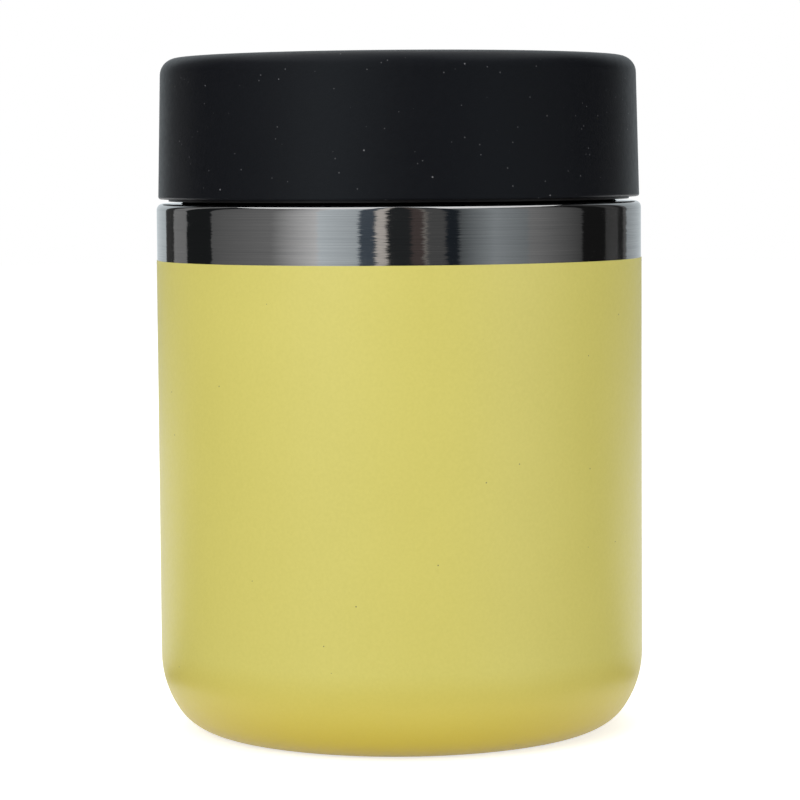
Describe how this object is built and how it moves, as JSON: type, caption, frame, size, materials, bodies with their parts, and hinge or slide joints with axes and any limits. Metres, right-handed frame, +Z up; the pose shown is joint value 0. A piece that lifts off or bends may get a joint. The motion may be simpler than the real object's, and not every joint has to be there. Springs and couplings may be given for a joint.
{
  "type": "insulated food jar",
  "caption": "Wide-mouth vacuum-insulated food jar: double-walled steel body with a coloured coat, bare steel shoulder band and a screw-on plastic lid.",
  "frame": {"origin": "centre of the circle on which the jar stands, on the jar's axis", "axes": "+Z up along the jar's axis towards the lid; +X to the right and -Y towards the viewer"},
  "size_m": [0.1, 0.1, 0.1382],
  "materials": {
    "brushed_steel": "satin",
    "liner_steel": "satin",
    "seal_glass": "gloss",
    "copper_foil": "polished",
    "getter_alloy": "matte",
    "yellow_coat": "satin",
    "black_cap": "matte",
    "black_inner": "satin",
    "silicone": "satin",
    "foam": "matte"
  },
  "bodies": {
    "jar": {"outer_shell": "brushed_steel", "outer_base": "brushed_steel", "base_cover": "brushed_steel", "vacuum_seal_bead": "seal_glass", "inner_liner": "liner_steel", "copper_foil_wrap": "copper_foil", "getter": "getter_alloy", "getter_cup": "liner_steel", "powder_coat": "yellow_coat"},
    "lid_puck": {"lid_insulation": "foam"},
    "lid": {"lid_cap": "black_cap", "lid_inner": "black_inner", "lid_gasket": "silicone"}
  },
  "joints": [
    {"name": "lid_rise", "type": "slide", "parent": "jar", "child": "lid_puck", "axis": [0, 0, 1], "range_m": [0, 0.036]},
    {"name": "lid_turn", "type": "hinge", "parent": "lid_puck", "child": "lid", "pos_m": [0, 0, 0.124], "axis": [0, 0, 1], "range_deg": [0, 1080]}
  ],
  "couplings": [
    {"joint": "lid_rise", "follows": "lid_turn", "m_per_rad": 0.0019099}
  ]
}
